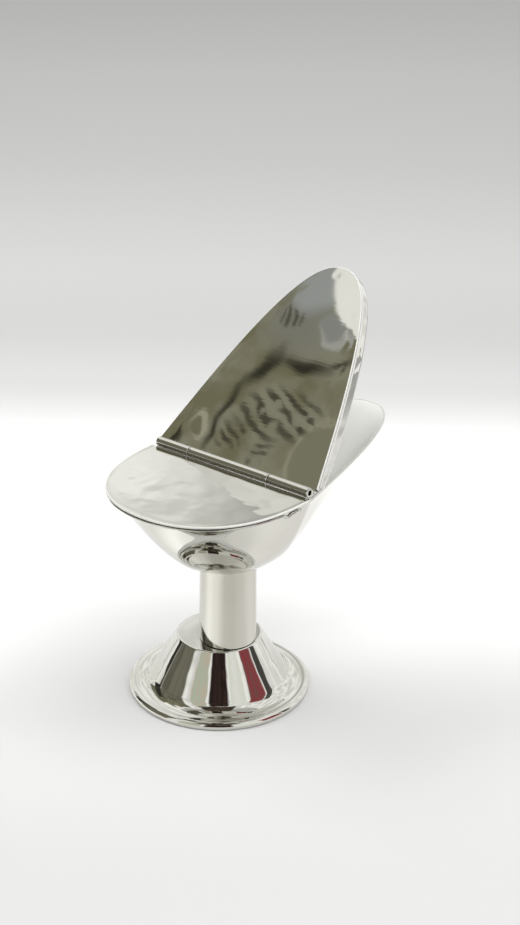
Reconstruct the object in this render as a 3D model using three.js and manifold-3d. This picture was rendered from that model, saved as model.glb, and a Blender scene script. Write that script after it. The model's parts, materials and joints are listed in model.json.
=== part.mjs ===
// Boat-shaped incense holder with a hinged stern lid, on a round spun foot.
// Millimetres, +Z up, +X towards the stern, +Y to port. The origin is on the ground under the
// middle of the whole object, lid open.
import * as THREE from 'three';
import { mergeVertices } from 'three/addons/utils/BufferGeometryUtils.js';
import Module from 'manifold-3d';

const wasm = await Module();
wasm.setup();

// ---- Driving dimensions ----
const SHEET = 1.0; // thickness of the pressed sheet
const GAP = 0.3; // clearance between neighbouring pieces

const HALF_BEAM = 39.5; // hull rim, at the hinge line
const BOW_LENGTH = 53.3; // hull rim, hinge line to bow
const STERN_LENGTH = 94.2; // hull rim, hinge line to stern
const OVERHANG = 1.0; // deck and lid stand out this far past the hull rim
const DECK_HEIGHT = 98.9; // top face of the deck
const HULL_DEPTH = 41.2; // rim to the lowest point, outside
const KEEL_AFT = 14.0; // lowest point, aft of the hinge line

// Exponents of the plan's curves. The stern is pointed, and the bow is close to a half ellipse.
const STERN_TAPER = 0.93;
const STERN_ROUNDNESS = 0.44;
const BOW_LENGTHWISE = 2.6;
const BOW_CROSSWISE = 2.14;

// Exponents of the bowl's sections. A larger fullness is a flatter floor with steeper walls.
const BOWL_FULLNESS = 3.4;
const FULLNESS_LOST_ABEAM = 0.62;
const FULLNESS_LOST_AT_STERN = 0.92;
const BOWL_FLARE = 1.3;

const STEM_RADIUS = 11.6;
const STEM_AHEAD = 2.4; // stem axis, forward of the hinge line
const STEM_BLANK = 8.0; // the tube runs this far past the hull's lowest point before it is fitted
const FOOT_RADIUS = 37.5;
const FOOT_TO_PORT = 5.5; // the foot was drilled off centre by this much
const FOOT_AFT = 1.05; // and by this much aft of the stem axis
const CONE_TOP_RADIUS = 17.9;
const CONE_TOP_HEIGHT = 24.5;
const CONE_BASE_RADIUS = 30.1; // where the cone and the flat flange would meet in a sharp corner
const FLANGE_HEIGHT = 3.2;
const FLANGE_FILLET = 8.0; // concave run-out of the cone into the flange
const EDGE_ROUNDING = 1.2; // top edge of the cone
const RIM_WIDTH = 2.6; // flattened rolled edge of the foot
const RIM_ROUNDING = 2.2; // rounding of that edge above
const RIM_UNDERCUT = 0.8; // and where it meets the ground

const BARREL_RADIUS = 2.0;
const BARREL_BORE = 1.1;
const PIN_RADIUS = 0.85;
const BARREL_RISE = 1.2; // hinge axis above the top face of the deck
const BARREL_HALF = 38.4; // half the length of the whole barrel
const MIDDLE_KNUCKLE_FROM = -18.6; // the lid's knuckle, along Y
const MIDDLE_KNUCKLE_TO = 21.6;
const PIN_RECESS = 3.5; // the pin stops this far inside each end of the barrel
const PLATE_SETBACK = 1.9; // deck and lid edges, from the hinge axis

const LID_OPEN = 43; // degrees above the closed lid
const SKIRT_DEPTH = 6.4;
const SKIRT_DEPTH_AT_HINGE = 3.0;
const SKIRT_WALL = 0.5;
const SKIRT_FLARE = 0.5; // the skirt's lower edge stands out by this much
const SKIRT_END_TURN = 0.243; // it stops just short of the hinge, as a share of a turn
const SKIRT_FULL_AFT = 0.35; // and reaches full depth at this share of the stern's length

const LIP_DEPTH = 4.0; // the deck's aft edge is turned down by this much
const LIP_CLEARANCE = 6.0; // and stops this far inside the hull's side
const SEAM_DEPTH = 1.0; // bead of solder under the deck's edge
const SEAM_START_TURN = 0.262; // from just ahead of one hinge end
const SEAM_TURN = 0.476; // round the bow to the other

const ROD_RADIUS = 2.0;
const ROD_HOLE = 2.4;
const HOLE_CUTTER = 6.0; // length of the cutter for the rod's holes
const ROD_BELOW_NUT = 3.0;
const NUT_ACROSS = 7.0;
const NUT_HEIGHT = 3.2;
const NUT_PLAY = 0.15; // between the rod and a nut's bore
const WASHER_THICKNESS = 1.2;
const FOOT_WASHER_RADIUS = 8.0;
const BOWL_WASHER_RADIUS = 6.0;
const BOWL_RISE = 1.2; // the bowl curves up this much under the edge of its washer

const ROUND_STEPS = 64; // around the hull and the foot
const STEM_STEPS = 40;
const SMALL_STEPS = 24; // around washers, rod and hinge barrel
const SEAM_STEPS = 36;
const SKIRT_STEPS = 44;

// ---- Places worked out from them ----
const deckHalfBeam = HALF_BEAM + OVERHANG;
const hingeX = -(STERN_LENGTH - (BOW_LENGTH + OVERHANG)) / 2;
const boatY = (deckHalfBeam - (FOOT_TO_PORT + FOOT_RADIUS)) / 2;
const stemX = hingeX - STEM_AHEAD;
const footX = stemX + FOOT_AFT;
const footY = boatY + FOOT_TO_PORT;
const rimHeight = DECK_HEIGHT - SHEET - GAP;
const hullBottom = rimHeight - HULL_DEPTH;
const hingeZ = DECK_HEIGHT + BARREL_RISE;

// ---- Helpers ----
function material(color, roughness, metalness) {
  return new THREE.MeshStandardMaterial({ color, roughness, metalness });
}

const polished = material(0xc9c8c2, 0.08, 1.0);
const satin = material(0xbdbcb6, 0.32, 1.0);
const steel = material(0x8f9296, 0.35, 1.0);
const solder = material(0xb5b4b0, 0.4, 1.0);

function toSolid(geometry) {
  const bare = geometry.clone();
  bare.deleteAttribute('normal');
  bare.deleteAttribute('uv');
  const merged = mergeVertices(bare, 1e-4);
  const count = merged.index.count;
  const triVerts = new Uint32Array(count);
  for (let i = 0; i < count; i += 1) {
    triVerts[i] = merged.index.getX(i);
  }
  const vertProperties = new Float32Array(merged.attributes.position.array);
  return new wasm.Manifold(new wasm.Mesh({ numProp: 3, vertProperties, triVerts }));
}

function toGeometry(solid) {
  const mesh = solid.getMesh();
  const geometry = new THREE.BufferGeometry();
  geometry.setAttribute('position', new THREE.BufferAttribute(mesh.vertProperties, 3));
  geometry.setIndex(new THREE.BufferAttribute(mesh.triVerts, 1));
  geometry.computeVertexNormals();
  return geometry;
}

function cut(geometry, ...tools) {
  let solid = toSolid(geometry);
  for (const tool of tools) {
    solid = solid.subtract(toSolid(tool));
  }
  return toGeometry(solid);
}

function join(geometry, ...others) {
  let solid = toSolid(geometry);
  for (const other of others) {
    solid = solid.add(toSolid(other));
  }
  return toGeometry(solid);
}

// Skins a row of rings, each a list of Vector3 in the same order, and closes the two end rings.
function loft(rings) {
  const size = rings[0].length;
  const points = rings.flat();
  const index = [];
  for (let r = 0; r + 1 < rings.length; r += 1) {
    for (let i = 0; i < size; i += 1) {
      const a = r * size + i;
      const b = r * size + (i + 1) % size;
      index.push(a, b, a + size, b, b + size, a + size);
    }
  }
  const last = (rings.length - 1) * size;
  const startCentre = points.length;
  const endCentre = points.length + 1;
  const middle = (ring) => ring.reduce((sum, p) => sum.add(p), new THREE.Vector3()).divideScalar(size);
  points.push(middle(rings[0]), middle(rings[rings.length - 1]));
  for (let i = 0; i < size; i += 1) {
    const next = (i + 1) % size;
    index.push(startCentre, next, i);
    index.push(endCentre, last + i, last + next);
  }
  const geometry = new THREE.BufferGeometry().setFromPoints(points);
  geometry.setIndex(index);
  geometry.computeVertexNormals();
  return geometry;
}

// A closed ring of revolution about Z. The profile is a list of [radius, height] pairs.
function turned(profile, steps) {
  const points = profile.map(([radius, height]) => new THREE.Vector2(radius, height));
  points.push(points[0].clone());
  return new THREE.LatheGeometry(points, steps).rotateX(Math.PI / 2);
}

function arc(centreRadius, centreHeight, radius, fromDegrees, toDegrees, steps) {
  const list = [];
  for (let i = 0; i <= steps; i += 1) {
    const angle = THREE.MathUtils.degToRad(fromDegrees + (toDegrees - fromDegrees) * i / steps);
    list.push([centreRadius + radius * Math.cos(angle), centreHeight + radius * Math.sin(angle)]);
  }
  return list;
}

function rod(radius, length, steps) {
  return new THREE.CylinderGeometry(radius, radius, length, steps).rotateX(Math.PI / 2);
}

// ---- The boat's plan ----
// Half-width of the hull's plan aft of the hinge line, grown outwards by grow.
function sternHalfWidth(aft, grow) {
  const along = Math.min(aft / (STERN_LENGTH + grow), 1);
  return (HALF_BEAM + grow) * (1 - along ** STERN_TAPER) ** STERN_ROUNDNESS;
}

// A point of the plan. turn runs from 0 at the stern through a quarter at port, round the bow.
function planPoint(turn, grow) {
  const angle = turn * 2 * Math.PI;
  const cosine = Math.cos(angle);
  const sine = Math.sin(angle);
  if (cosine > 0) {
    const aft = (STERN_LENGTH + grow) * cosine;
    return new THREE.Vector2(aft, Math.sign(sine) * sternHalfWidth(aft, grow));
  }
  const ahead = (BOW_LENGTH + grow) * Math.abs(cosine) ** (2 / BOW_LENGTHWISE);
  const abeam = (HALF_BEAM + grow) * Math.abs(sine) ** (2 / BOW_CROSSWISE);
  return new THREE.Vector2(-ahead, Math.sign(sine) * abeam);
}

// One level of the bowl: the plan shrunk towards the lowest point. share is 1 at the rim.
function bowlRing(share, grow, steps) {
  const ring = [];
  for (let i = 0; i < steps; i += 1) {
    const rim = planPoint(i / steps, grow);
    const aft = Math.max(rim.x - KEEL_AFT, 0) / (STERN_LENGTH - KEEL_AFT);
    const abeam = Math.abs(Math.sin(2 * Math.PI * i / steps));
    const fullness = BOWL_FULLNESS - FULLNESS_LOST_AT_STERN * aft - FULLNESS_LOST_ABEAM * abeam;
    const depth = (HULL_DEPTH + grow) * (1 - share ** fullness) ** BOWL_FLARE;
    const x = KEEL_AFT + share * (rim.x - KEEL_AFT);
    ring.push(new THREE.Vector3(hingeX + x, boatY + share * rim.y, rimHeight - depth));
  }
  return ring;
}

const BOWL_SHARES = [0.08, 0.2, 0.32, 0.43, 0.53, 0.62, 0.7, 0.77, 0.83, 0.88, 0.93, 0.97, 1];

// A bowl-shaped solid from the lowest point to the rim, grown outwards by grow and filled in.
function filledBowl(grow) {
  return loft(BOWL_SHARES.map((share) => bowlRing(share, grow, ROUND_STEPS)));
}

// ---- Foot and stem ----
function footShell() {
  const top = CONE_TOP_HEIGHT;
  const slope = Math.atan2(top - FLANGE_HEIGHT, CONE_BASE_RADIUS - CONE_TOP_RADIUS);
  const slopeDegrees = THREE.MathUtils.radToDeg(slope);
  const inset = SHEET / Math.sin(slope);
  const runOut = FLANGE_FILLET * Math.tan(slope / 2);
  const fillet = arc(CONE_BASE_RADIUS + runOut, FLANGE_HEIGHT + FLANGE_FILLET, FLANGE_FILLET,
    270 - slopeDegrees, 270, 6);
  const innerFillet = arc(CONE_BASE_RADIUS + runOut, FLANGE_HEIGHT + FLANGE_FILLET,
    FLANGE_FILLET + SHEET, 270 - slopeDegrees, 270, 6);
  const axisHole = 1;
  const profile = [
    [axisHole, top - SHEET],
    [axisHole, top],
    ...arc(CONE_TOP_RADIUS - EDGE_ROUNDING, top - EDGE_ROUNDING, EDGE_ROUNDING, 90, 90 - slopeDegrees, 3),
    ...fillet,
    ...arc(FOOT_RADIUS - RIM_ROUNDING, FLANGE_HEIGHT - RIM_ROUNDING, RIM_ROUNDING, 90, 0, 5),
    ...arc(FOOT_RADIUS - RIM_UNDERCUT, RIM_UNDERCUT, RIM_UNDERCUT, 0, -90, 2),
    [FOOT_RADIUS - RIM_WIDTH, 0],
    [FOOT_RADIUS - RIM_WIDTH, FLANGE_HEIGHT - SHEET],
    ...innerFillet.reverse(),
    [CONE_TOP_RADIUS - inset, top - SHEET],
  ];
  const shell = turned(profile.reverse(), ROUND_STEPS);
  // The turned ring leaves a small hole on its axis, and a disc fills it.
  const plug = rod(2 * axisHole, SHEET, SMALL_STEPS).translate(0, 0, top - SHEET / 2);
  const rodHole = rod(ROD_HOLE, HOLE_CUTTER, SMALL_STEPS).translate(stemX - footX, boatY - footY, top);
  return cut(join(shell, plug), rodHole);
}

function stemTube() {
  const bottom = CONE_TOP_HEIGHT + GAP;
  const top = hullBottom + STEM_BLANK;
  const tube = turned([
    [STEM_RADIUS - SHEET, bottom],
    [STEM_RADIUS, bottom],
    [STEM_RADIUS, top],
    [STEM_RADIUS - SHEET, top],
  ], STEM_STEPS);
  return cut(tube.translate(stemX, boatY, 0), filledBowl(GAP));
}

// A nut is a hexagonal prism with a plain hole.
function nut(height) {
  const body = rod(NUT_ACROSS / Math.sqrt(3), height, 6);
  return cut(body, rod(ROD_RADIUS + NUT_PLAY, 2 * height, SMALL_STEPS));
}

function washer(radius, thickness) {
  return turned([
    [ROD_HOLE, 0],
    [radius, 0],
    [radius, thickness],
    [ROD_HOLE, thickness],
  ], SMALL_STEPS);
}

// ---- Hull, deck and lid ----
function hull() {
  const outside = BOWL_SHARES.map((share) => bowlRing(share, 0, ROUND_STEPS));
  const inside = BOWL_SHARES.map((share) => bowlRing(share, -SHEET, ROUND_STEPS)).reverse();
  const hole = rod(ROD_HOLE, HOLE_CUTTER, SMALL_STEPS).translate(stemX, boatY, hullBottom);
  return cut(loft([...outside, ...inside]), hole);
}

// The flat plan of the deck (bow side) or lid (stern side), cut off short of the hinge.
function platePlan(side, grow) {
  const points = [];
  const steps = ROUND_STEPS / 2;
  for (let i = 0; i <= steps; i += 1) {
    const turn = side < 0 ? 0.25 + i / (2 * steps) : -0.25 + i / (2 * steps);
    points.push(planPoint(turn, grow));
  }
  for (const point of points) {
    point.x = side * Math.max(side * point.x, PLATE_SETBACK);
  }
  return new THREE.Shape(points);
}

function plate(side) {
  const options = { depth: SHEET, bevelEnabled: false };
  return new THREE.ExtrudeGeometry(platePlan(side, OVERHANG), options);
}

function bowDeck() {
  const flat = plate(-1).translate(hingeX, boatY, DECK_HEIGHT - SHEET);
  const lip = new THREE.BoxGeometry(SHEET, 2 * (HALF_BEAM - LIP_CLEARANCE), LIP_DEPTH);
  const lipX = hingeX - PLATE_SETBACK - SHEET / 2;
  return join(flat, lip.translate(lipX, boatY, DECK_HEIGHT - LIP_DEPTH / 2));
}

// The bead of solder under the deck's edge, round the bow from one hinge end to the other.
function deckSeam() {
  const rings = [];
  for (let i = 0; i <= SEAM_STEPS; i += 1) {
    const turn = SEAM_START_TURN + SEAM_TURN * i / SEAM_STEPS;
    const inner = planPoint(turn, GAP);
    const outer = planPoint(turn, OVERHANG);
    const middle = inner.clone().add(outer).divideScalar(2);
    rings.push([
      new THREE.Vector3(hingeX + inner.x, boatY + inner.y, rimHeight),
      new THREE.Vector3(hingeX + outer.x, boatY + outer.y, rimHeight),
      new THREE.Vector3(hingeX + middle.x, boatY + middle.y, rimHeight - SEAM_DEPTH),
    ]);
  }
  return loft(rings);
}

// The skirt hangs from the lid's edge, shallow at the hinge and full depth from there on.
function lidSkirt() {
  const rings = [];
  const hanging = SKIRT_DEPTH - SKIRT_DEPTH_AT_HINGE;
  for (let i = 0; i <= SKIRT_STEPS; i += 1) {
    const turn = SKIRT_END_TURN * (2 * i / SKIRT_STEPS - 1);
    const outer = planPoint(turn, OVERHANG);
    const inner = planPoint(turn, OVERHANG - SKIRT_WALL);
    const lowOuter = planPoint(turn, OVERHANG + SKIRT_FLARE);
    const lowInner = planPoint(turn, OVERHANG + SKIRT_FLARE - SKIRT_WALL);
    const reach = Math.min(outer.x / (SKIRT_FULL_AFT * STERN_LENGTH), 1);
    const bottom = rimHeight + SHEET - SKIRT_DEPTH_AT_HINGE - hanging * Math.sin(reach * Math.PI / 2);
    rings.push([
      new THREE.Vector3(lowOuter.x, lowOuter.y, bottom),
      new THREE.Vector3(lowInner.x, lowInner.y, bottom),
      new THREE.Vector3(inner.x, inner.y, rimHeight),
      new THREE.Vector3(outer.x, outer.y, rimHeight),
    ]);
  }
  return loft(rings).translate(0, 0, -hingeZ);
}

// ---- Hinge ----
function knuckle(from, to) {
  const length = to - from;
  const tube = turned([
    [BARREL_BORE, 0],
    [BARREL_RADIUS, 0],
    [BARREL_RADIUS, length],
    [BARREL_BORE, length],
  ], SMALL_STEPS);
  return tube.rotateX(-Math.PI / 2).translate(0, from, 0);
}

// ---- Assembly ----
const boat = new THREE.Group();

function add(parent, name, geometry, surface, x = 0, y = 0, z = 0) {
  const mesh = new THREE.Mesh(geometry, surface);
  mesh.name = name;
  mesh.position.set(x, y, z);
  parent.add(mesh);
}

const washerBottom = CONE_TOP_HEIGHT - SHEET - GAP - WASHER_THICKNESS;
const footNutTop = washerBottom - GAP;
const bowlWasherBottom = hullBottom + SHEET + GAP + BOWL_RISE;
const bowlNutBottom = bowlWasherBottom + WASHER_THICKNESS + GAP;
const rodBottom = footNutTop - NUT_HEIGHT - ROD_BELOW_NUT;
const rodTop = bowlNutBottom + NUT_HEIGHT - SHEET / 2;
const tieRod = rod(ROD_RADIUS, rodTop - rodBottom, SMALL_STEPS);

add(boat, 'foot_shell', footShell(), polished, footX, footY, 0);
add(boat, 'stem_tube', stemTube(), satin);
add(boat, 'foot_washer', washer(FOOT_WASHER_RADIUS, WASHER_THICKNESS), steel, stemX, boatY, washerBottom);
add(boat, 'foot_nut', nut(NUT_HEIGHT), steel, stemX, boatY, footNutTop - NUT_HEIGHT / 2);
add(boat, 'tie_rod', tieRod, steel, stemX, boatY, (rodTop + rodBottom) / 2);
add(boat, 'bowl_washer', washer(BOWL_WASHER_RADIUS, WASHER_THICKNESS), polished,
  stemX, boatY, bowlWasherBottom);
add(boat, 'bowl_nut', nut(NUT_HEIGHT), polished, stemX, boatY, bowlNutBottom + NUT_HEIGHT / 2);

const portKnuckle = knuckle(MIDDLE_KNUCKLE_TO + GAP, BARREL_HALF);
const starboardKnuckle = knuckle(-BARREL_HALF, MIDDLE_KNUCKLE_FROM - GAP);
const hingePin = rod(PIN_RADIUS, 2 * (BARREL_HALF - PIN_RECESS), SMALL_STEPS).rotateX(Math.PI / 2);
add(boat, 'hull', hull(), polished);
add(boat, 'bow_deck', bowDeck(), polished);
add(boat, 'deck_solder_seam', deckSeam(), solder);
add(boat, 'hinge_knuckle_port', portKnuckle, polished, hingeX, boatY, hingeZ);
add(boat, 'hinge_knuckle_starboard', starboardKnuckle, polished, hingeX, boatY, hingeZ);
add(boat, 'hinge_pin', hingePin, steel, hingeX, boatY, hingeZ);

const lid = new THREE.Group();
lid.position.set(hingeX, boatY, hingeZ);
lid.rotation.y = -THREE.MathUtils.degToRad(LID_OPEN);
boat.add(lid);
add(lid, 'lid_plate', plate(1), polished, 0, 0, DECK_HEIGHT - SHEET - hingeZ);
add(lid, 'lid_skirt', lidSkirt(), polished);
add(lid, 'lid_knuckle', knuckle(MIDDLE_KNUCKLE_FROM, MIDDLE_KNUCKLE_TO), polished);

export default boat;
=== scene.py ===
"""Looks of a boat-shaped incense holder: hand-buffed plated sheet metal on a spun foot, lid open."""
import json
import math

import bmesh
import bpy
import numpy as np
from mathutils import Matrix, Vector, noise
from mathutils.bvhtree import BVHTree


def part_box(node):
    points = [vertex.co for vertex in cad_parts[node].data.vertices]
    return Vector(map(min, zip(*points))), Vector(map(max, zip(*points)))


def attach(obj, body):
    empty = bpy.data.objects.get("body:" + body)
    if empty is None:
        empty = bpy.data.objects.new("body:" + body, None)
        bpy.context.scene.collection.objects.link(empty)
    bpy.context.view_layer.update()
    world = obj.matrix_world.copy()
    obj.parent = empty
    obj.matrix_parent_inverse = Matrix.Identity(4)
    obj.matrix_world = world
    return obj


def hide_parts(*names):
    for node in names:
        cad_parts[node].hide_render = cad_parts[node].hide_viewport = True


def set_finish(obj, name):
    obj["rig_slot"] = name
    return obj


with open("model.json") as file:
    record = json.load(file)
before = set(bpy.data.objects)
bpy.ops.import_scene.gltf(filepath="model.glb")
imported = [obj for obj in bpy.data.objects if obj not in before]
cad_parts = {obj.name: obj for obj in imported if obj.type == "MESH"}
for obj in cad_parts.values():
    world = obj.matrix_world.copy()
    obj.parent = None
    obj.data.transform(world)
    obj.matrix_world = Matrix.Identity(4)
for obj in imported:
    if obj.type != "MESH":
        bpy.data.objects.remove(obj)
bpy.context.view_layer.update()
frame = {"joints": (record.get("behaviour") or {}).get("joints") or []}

MM = 0.001

# ---- Driving dimensions, in millimetres, the same as the CAD part's ----
SHEET = 1.0
GAP = 0.3
HALF_BEAM = 39.5
BOW_LENGTH = 53.3
STERN_LENGTH = 94.2
OVERHANG = 1.0
HULL_DEPTH = 41.2
KEEL_AFT = 14.0
STERN_TAPER = 0.93
STERN_ROUNDNESS = 0.44
BOW_LENGTHWISE = 2.6
BOW_CROSSWISE = 2.14
BOWL_FULLNESS = 3.4
FULLNESS_LOST_ABEAM = 0.62
FULLNESS_LOST_AT_STERN = 0.92
BOWL_FLARE = 1.3
CONE_TOP_RADIUS = 17.9
CONE_BASE_RADIUS = 30.1
FLANGE_HEIGHT = 3.2
FLANGE_FILLET = 8.0
EDGE_ROUNDING = 1.2
RIM_WIDTH = 2.6
RIM_ROUNDING = 2.2
RIM_UNDERCUT = 0.8
BARREL_BORE = 1.1
PLATE_SETBACK = 1.9
LID_OPEN = math.radians(43)
SKIRT_DEPTH = 6.4
SKIRT_DEPTH_AT_HINGE = 3.0
SKIRT_WALL = 0.5
SKIRT_FLARE = 0.5
SKIRT_END_TURN = 0.243
SKIRT_FULL_AFT = 0.35
LIP_DEPTH = 4.0
LIP_CLEARANCE = 6.0
SEAM_START_TURN = 0.262
SEAM_TURN = 0.476

# ---- Detail that only this model has, in millimetres ----
SEAM_REACH = 0.9  # solder, out from the plan, so that it stays under the deck's edge
TURNED_ROUNDING = 0.25  # edges of knuckles, pin and washers
SHEARED_ROUNDING = 0.2  # edges of the deck's lip and the stem tube, and the foot's inner edge

# Hand-beaten unevenness. Each hill is its height, its wavelength and its seed.
HULL_HILLS = ((0.13, 26, 1.7), (0.03, 9, 5.1))
DECK_HILLS = ((0.07, 19, 3.3), (0.06, 8, 7.7), (0.012, 3.5, 5.5))
LID_HILLS = ((0.035, 27, 6.4), (0.004, 10, 1.1))
LID_RIPPLES = ((0.012, 4.5, 8.8),)
SKIRT_EDGE_WAVES = ((0.22, 7, 3.7),)
SKIRT_DENTS = ((0.10, 5, 8.2),)
FOOT_HILLS = ((0.10, 10, 4.4), (0.035, 4.5, 9.9))

# ---- Places, read from the frame, in millimetres ----
hinge = Vector(frame["joints"][0]["pos_m"]) / MM


def low(node):
    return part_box(node)[0] / MM


def high(node):
    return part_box(node)[1] / MM


def middle(node):
    return (low(node) + high(node)) / 2


def radius_of(node):
    return (high(node).x - low(node).x) / 2


deck_top = high("bow_deck").z
rim_height = high("hull").z
stem_axis = middle("stem_tube")
foot_axis = middle("foot_shell")
cone_top = high("foot_shell").z
plate_level = deck_top - SHEET / 2 - hinge.z


# ---- Mesh helpers ----
def wobble(point, wavelength, seed):
    """Smooth noise from -1 to 1 at a point, with hills about one wavelength apart."""
    return noise.noise(Vector(point) / wavelength + Vector((seed, 2.3 * seed, 4.1 * seed)))


def unevenness(point, hills):
    """The height at a point of some hills added together."""
    return sum(height * wobble(point, wavelength, seed) for height, wavelength, seed in hills)


def ramp(value, first, last):
    """0 before first, 1 after last, and smooth between."""
    share = min(max((value - first) / (last - first), 0), 1)
    return share * share * (3 - 2 * share)


def new_object(name, points, faces, body, slot, sharp=35):
    """A smooth-shaded closed piece from millimetre points, its faces turned outwards.

    It rides on a body and stands for the CAD node of its name. Edges over sharp degrees stay crisp."""
    mesh = bpy.data.meshes.new(name)
    mesh.from_pydata((np.asarray(points, float) * MM).tolist(), [], faces)
    mesh.validate()
    shell = bmesh.new()
    shell.from_mesh(mesh)
    bmesh.ops.recalc_face_normals(shell, faces=shell.faces)
    if shell.calc_volume(signed=True) < 0:
        bmesh.ops.reverse_faces(shell, faces=shell.faces)
    shell.to_mesh(mesh)
    shell.free()
    mesh.shade_smooth()
    mesh.set_sharp_from_angle(angle=math.radians(sharp))
    piece = bpy.data.objects.new(name, mesh)
    bpy.context.scene.collection.objects.link(piece)
    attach(piece, body)
    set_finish(piece, slot)
    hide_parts(name)
    return piece


def mark_painted_highlight(piece, amounts):
    """Says at each point how much painted highlight the metal has, from 0 for a mirror to 1 for pale matt
    metal standing for a bright reflection.
    """
    painted_highlight = piece.data.attributes.new("painted_highlight", "FLOAT", "POINT")
    painted_highlight.data.foreach_set("value", [float(amount) for amount in amounts])
    return piece


def skin(rings, around=False):
    """Points and faces over a row of equal closed rings.

    The first and last rings are closed with fans, or joined to each other when around is true."""
    size = len(rings[0])
    count = len(rings)
    points = np.concatenate([np.asarray(ring, float) for ring in rings])
    faces = []
    for r in range(count if around else count - 1):
        a = r * size
        b = (r + 1) % count * size
        for i in range(size):
            j = (i + 1) % size
            faces.append((a + i, a + j, b + j, b + i))
    if around:
        return points, faces
    last = (count - 1) * size
    start_centre = len(points)
    end_centre = start_centre + 1
    points = np.concatenate([points, [points[:size].mean(0)], [points[last:].mean(0)]])
    for i in range(size):
        j = (i + 1) % size
        faces.append((start_centre, j, i))
        faces.append((end_centre, last + i, last + j))
    return points, faces


def turned(profile, steps, centre=(0, 0), around=True):
    """A profile of (radius, height) turned about a vertical axis.

    around is true for a closed profile, and false for one whose ends are closed over the axis."""
    angles = [2 * math.pi * k / steps for k in range(steps)]
    rings = []
    for r, z in profile:
        rings.append([(centre[0] + r * math.cos(a), centre[1] + r * math.sin(a), z) for a in angles])
    return skin(rings, around)


def arc(centre, radius, first, last, steps):
    """Points of an arc in degrees, both ends included."""
    angles = np.radians(np.linspace(first, last, steps + 1))
    return [(centre[0] + radius * math.cos(a), centre[1] + radius * math.sin(a)) for a in angles]


def between(start, end, steps):
    """The inner points of a straight line cut into equal steps."""
    start, end = np.array(start, float), np.array(end, float)
    return [tuple(start + (end - start) * k / steps) for k in range(1, steps)]


def rounded_box(inner, outer, bottom, top, rounding, side_steps=1):
    """A rectangle of (radius, height) with round corners, its outer side cut into equal steps."""
    steps = 4
    return (arc((outer - rounding, bottom + rounding), rounding, -90, 0, steps)
            + between((outer, bottom + rounding), (outer, top - rounding), side_steps)
            + arc((outer - rounding, top - rounding), rounding, 0, 90, steps)
            + arc((inner + rounding, top - rounding), rounding, 90, 180, steps)
            + arc((inner + rounding, bottom + rounding), rounding, 180, 270, steps))


# ---- The boat's plan and bowl ----
def plan_point(turn, grow):
    """A point of the plan about the hinge's middle. turn is 0 at the stern and 0.25 at port."""
    cosine = math.cos(2 * math.pi * turn)
    sine = math.sin(2 * math.pi * turn)
    side = math.copysign(1, sine)
    if cosine > 0:
        aft = (STERN_LENGTH + grow) * cosine
        return aft, side * (HALF_BEAM + grow) * (1 - cosine ** STERN_TAPER) ** STERN_ROUNDNESS
    ahead = (BOW_LENGTH + grow) * abs(cosine) ** (2 / BOW_LENGTHWISE)
    return -ahead, side * (HALF_BEAM + grow) * abs(sine) ** (2 / BOW_CROSSWISE)


def bowl_point(turn, share, grow):
    """A point of the bowl's wall. share runs from 0 at the lowest point to 1 at the rim."""
    x, y = plan_point(turn, grow)
    aft = max(x - KEEL_AFT, 0) / (STERN_LENGTH - KEEL_AFT)
    abeam = abs(math.sin(2 * math.pi * turn))
    fullness = BOWL_FULLNESS - FULLNESS_LOST_AT_STERN * aft - FULLNESS_LOST_ABEAM * abeam
    depth = (HULL_DEPTH + grow) * (1 - share ** fullness) ** BOWL_FLARE
    return (hinge.x + KEEL_AFT + share * (x - KEEL_AFT), hinge.y + share * y, rim_height - depth)


# ---- Pieces of the boat ----
def hull():
    """The pressed bowl, with hand-beaten unevenness and a rounded rim."""
    columns = 224
    rim_rings = 9
    bottom_angle = 0.03
    turns = [i / columns for i in range(columns)]
    levels = np.sin(np.linspace(bottom_angle, math.pi / 2, 60))[:-1]
    rings = [[bowl_point(t, s, 0) for t in turns] for s in levels]
    for angle in np.linspace(0, math.pi, rim_rings):
        drop = SHEET / 2 * (1 - math.sin(angle))
        edge = [bowl_point(t, 1, SHEET / 2 * (math.cos(angle) - 1)) for t in turns]
        rings.append([(x, y, z - drop) for x, y, z in edge])
    rings += [[bowl_point(t, s, -SHEET) for t in turns] for s in levels[::-1]]
    points, faces = skin(rings)
    lengthwise = 0.4
    above_rim = 4
    smooth_depth = 7
    shaped = []
    for p in points:
        aft = lengthwise * (p[0] - hinge.x - KEEL_AFT)
        out = Vector((aft, p[1] - hinge.y, p[2] - rim_height - above_rim))
        out.normalize()
        push = unevenness(p, HULL_HILLS)
        shaped.append(Vector(p) + out * push * ramp(rim_height - p[2], 0, smooth_depth))
    piece = new_object("hull", shaped, faces, "boat", "polished_plate")
    # The bowl's inside gets the pale matt painted highlight, standing for its bright reflection.
    inside = (len(levels) + rim_rings // 2 + 1) * columns
    return mark_painted_highlight(piece, [k >= inside for k in range(len(shaped))])


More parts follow.
